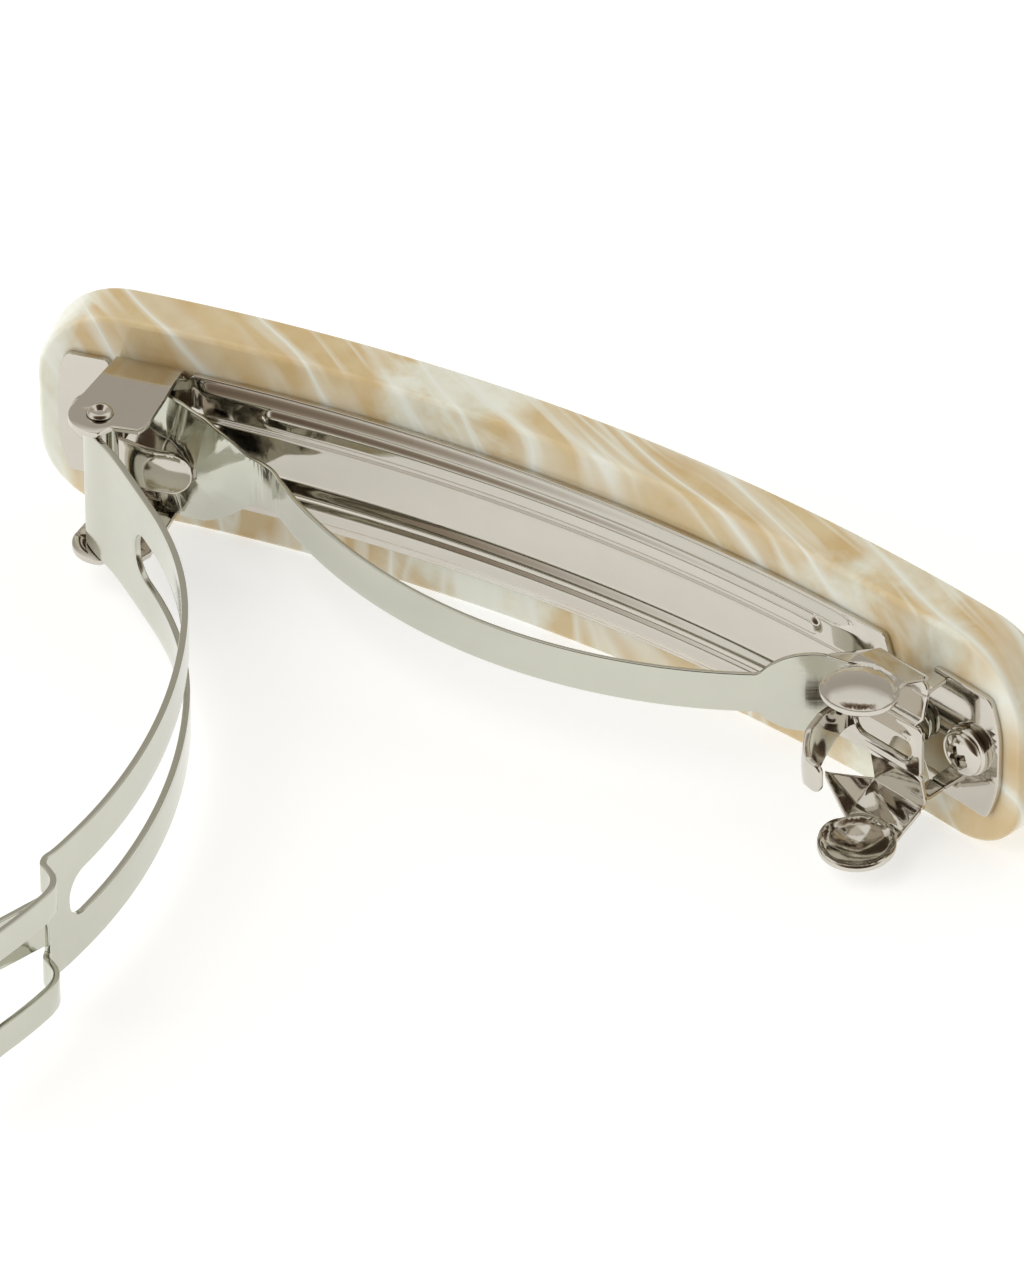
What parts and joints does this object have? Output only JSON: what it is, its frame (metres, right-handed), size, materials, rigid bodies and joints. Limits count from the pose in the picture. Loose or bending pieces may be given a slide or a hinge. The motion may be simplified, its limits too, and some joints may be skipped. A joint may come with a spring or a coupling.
{
  "type": "hair barrette",
  "caption": "Arched acetate hair barrette with a sprung metal clasp: hinged slotted arm, bowed tension bar and squeeze-to-open catch.",
  "frame": {"origin": "middle of the long edge that the barrette stands on, half way through the body's thickness", "axes": "+X along the body from the hinge to the catch, +Z across its width, -Y towards the hair"},
  "size_m": [0.086, 0.0732, 0.0178],
  "materials": {
    "acetate": "polished acetate, caramel with ivory streaks",
    "nickel": "bright nickel plate"
  },
  "bodies": {
    "base": {"body": "acetate", "base_plate": "nickel", "screws": "nickel", "hinge_pin": "nickel", "tension_bar": "nickel", "catch_web": "nickel"},
    "arm": {"arm": "nickel"},
    "wing_upper": {"catch_wing_upper": "nickel"},
    "wing_lower": {"catch_wing_lower": "nickel"},
    "hook": {"catch_hook": "nickel"}
  },
  "joints": [
    {"name": "arm_hinge", "type": "hinge", "parent": "base", "child": "arm", "pos_m": [-0.03269, -0.01346, 0.0089], "axis": [0, 0, 1], "range_deg": [0, 64], "deforming": ["tension_bar"]},
    {"name": "wing_upper_press", "type": "hinge", "parent": "base", "child": "wing_upper", "pos_m": [0.03225, -0.00793, 0.0148], "axis": [0.977, -0.2133, 0], "range_deg": [0, 7], "stiffness_Nm_per_rad": 0.3},
    {"name": "wing_lower_press", "type": "hinge", "parent": "base", "child": "wing_lower", "pos_m": [0.03225, -0.00793, 0.003], "axis": [-0.977, 0.2133, 0], "range_deg": [0, 7]},
    {"name": "hook_tilt", "type": "hinge", "parent": "base", "child": "hook", "pos_m": [0.0276, -0.00789, 0.0089], "axis": [0, 0, -1], "range_deg": [0, 14]}
  ],
  "couplings": [
    {"joint": "wing_lower_press", "follows": "wing_upper_press", "ratio": 1},
    {"joint": "hook_tilt", "follows": "wing_upper_press", "ratio": 2}
  ]
}
